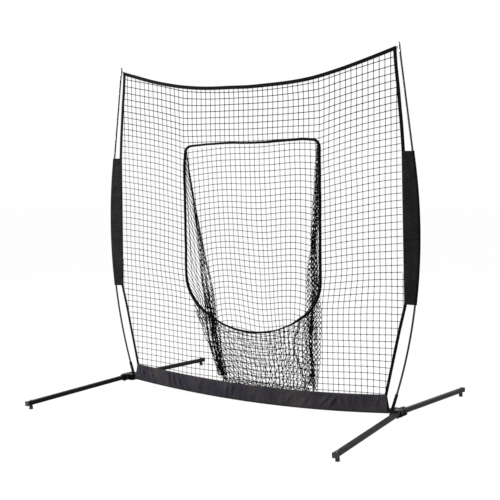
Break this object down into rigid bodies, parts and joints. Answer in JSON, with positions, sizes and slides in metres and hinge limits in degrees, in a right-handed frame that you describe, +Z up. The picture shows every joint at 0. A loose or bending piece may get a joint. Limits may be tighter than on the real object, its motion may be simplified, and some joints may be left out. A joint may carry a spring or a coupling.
{
  "type": "pitching target net",
  "caption": "Freestanding sports net on bowed poles with a framed strike opening, a deep catch pocket behind it and folding legs on a low crossbar.",
  "frame": {"origin": "centre of the bounding box in plan, on the ground under the feet", "axes": "+X to the right along the net as the pitcher sees it, +Y away from the pitcher towards the pocket, +Z up"},
  "size_m": [2.2698, 1.726, 2.1265],
  "materials": {
    "painted_steel": "semi-gloss black powder coat",
    "zinc": "bright zinc plate",
    "fibreglass": "smooth black fibreglass rod",
    "rubber": "matt black rubber",
    "plastic": "moulded black plastic",
    "cloth": "plain woven nylon, charcoal",
    "webbing": "folded black webbing",
    "twine": "knotted black polyester twine"
  },
  "bodies": {
    "frame": {"left_hub_upper_plate": "painted_steel", "right_hub_upper_plate": "painted_steel", "left_hub_lower_plate": "painted_steel", "right_hub_lower_plate": "painted_steel", "left_hub_block": "plastic", "right_hub_block": "plastic", "left_pole_socket": "painted_steel", "right_pole_socket": "painted_steel", "pivot_bolts": "zinc", "pivot_nuts": "zinc", "crossbar_left": "painted_steel", "crossbar_right": "painted_steel", "crossbar_coupler": "zinc", "left_pole_lower": "fibreglass", "right_pole_lower": "fibreglass", "left_pole_middle": "fibreglass", "right_pole_middle": "fibreglass", "left_pole_upper": "fibreglass", "right_pole_upper": "fibreglass", "pole_ferrules": "zinc", "left_pole_tip": "zinc", "right_pole_tip": "zinc", "left_sleeve": "cloth", "right_sleeve": "cloth", "skirt": "cloth", "top_binding": "webbing", "left_binding": "webbing", "right_binding": "webbing", "corner_loops": "webbing", "net_left": "twine", "net_right": "twine", "net_top": "twine", "net_lower_left": "twine", "net_lower_right": "twine", "pocket_rim": "webbing", "pocket_back": "twine", "pocket_front": "twine", "pocket_roll": "twine", "pocket_left_side": "twine", "pocket_right_side": "twine"},
    "left_front_leg_unit": {"left_front_leg": "painted_steel", "left_front_cap": "plastic", "left_front_foot": "rubber", "left_front_foot_bolt": "zinc"},
    "left_rear_leg_unit": {"left_rear_leg": "painted_steel", "left_rear_cap": "plastic", "left_rear_foot": "rubber", "left_rear_foot_bolt": "zinc"},
    "right_front_leg_unit": {"right_front_leg": "painted_steel", "right_front_cap": "plastic", "right_front_foot": "rubber", "right_front_foot_bolt": "zinc"},
    "right_rear_leg_unit": {"right_rear_leg": "painted_steel", "right_rear_cap": "plastic", "right_rear_foot": "rubber", "right_rear_foot_bolt": "zinc"}
  },
  "joints": [
    {"name": "right_front_fold", "type": "hinge", "parent": "frame", "child": "right_front_leg_unit", "pos_m": [1.0115, -0.04, 0.066], "axis": [0, 0, 1], "range_deg": [-94.5, 0]},
    {"name": "left_front_fold", "type": "hinge", "parent": "frame", "child": "left_front_leg_unit", "pos_m": [-1.0115, -0.04, 0.066], "axis": [0, 0, 1], "range_deg": [0, 94.5]},
    {"name": "right_rear_fold", "type": "hinge", "parent": "frame", "child": "right_rear_leg_unit", "pos_m": [1.0115, 0.04, 0.066], "axis": [0, 0, 1], "range_deg": [0, 91]},
    {"name": "left_rear_fold", "type": "hinge", "parent": "frame", "child": "left_rear_leg_unit", "pos_m": [-1.0115, 0.04, 0.066], "axis": [0, 0, 1], "range_deg": [-91, 0]}
  ]
}
